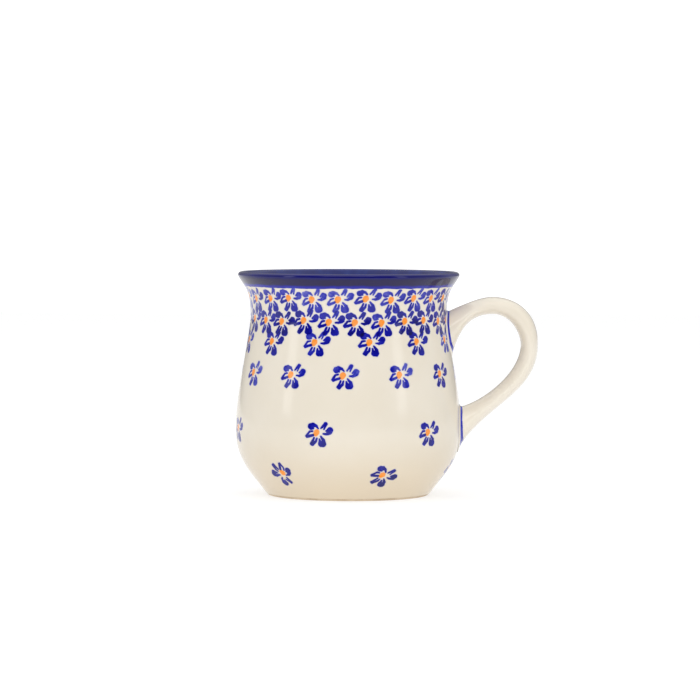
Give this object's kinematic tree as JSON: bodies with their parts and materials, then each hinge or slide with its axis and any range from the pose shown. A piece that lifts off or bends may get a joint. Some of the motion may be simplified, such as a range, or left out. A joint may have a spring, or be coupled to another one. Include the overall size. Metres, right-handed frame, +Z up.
{
  "type": "stoneware mug",
  "caption": "Full-bellied glazed stoneware mug with a narrow neck, a flared dark blue rim, small stamped flowers and a loop handle luted on with slip.",
  "frame": {"origin": "centre of the foot ring, on the plane that the mug stands on", "axes": "+Z up along the body's axis and out of the mouth, +X from the axis towards the handle"},
  "size_m": [0.1229, 0.0916, 0.0908],
  "materials": {
    "bare_clay": "matt fired stoneware, cream to tan",
    "joining_slip": "matt fired slip",
    "decorated_glaze": "glossy clear glaze over stamped cobalt and orange flowers and a cobalt rim band",
    "inside_glaze": "glossy clear glaze, cobalt near the lip",
    "handle_glaze": "glossy clear glaze with painted cobalt lines at the joints",
    "underside_glaze": "glossy clear glaze"
  },
  "bodies": {
    "root": {"body": "bare_clay", "handle": "bare_clay", "upper_slip_joint": "joining_slip", "lower_slip_joint": "joining_slip", "outside_glaze": "decorated_glaze", "inside_glaze": "inside_glaze", "handle_glaze": "handle_glaze", "underside_glaze": "underside_glaze"}
  },
  "joints": []
}
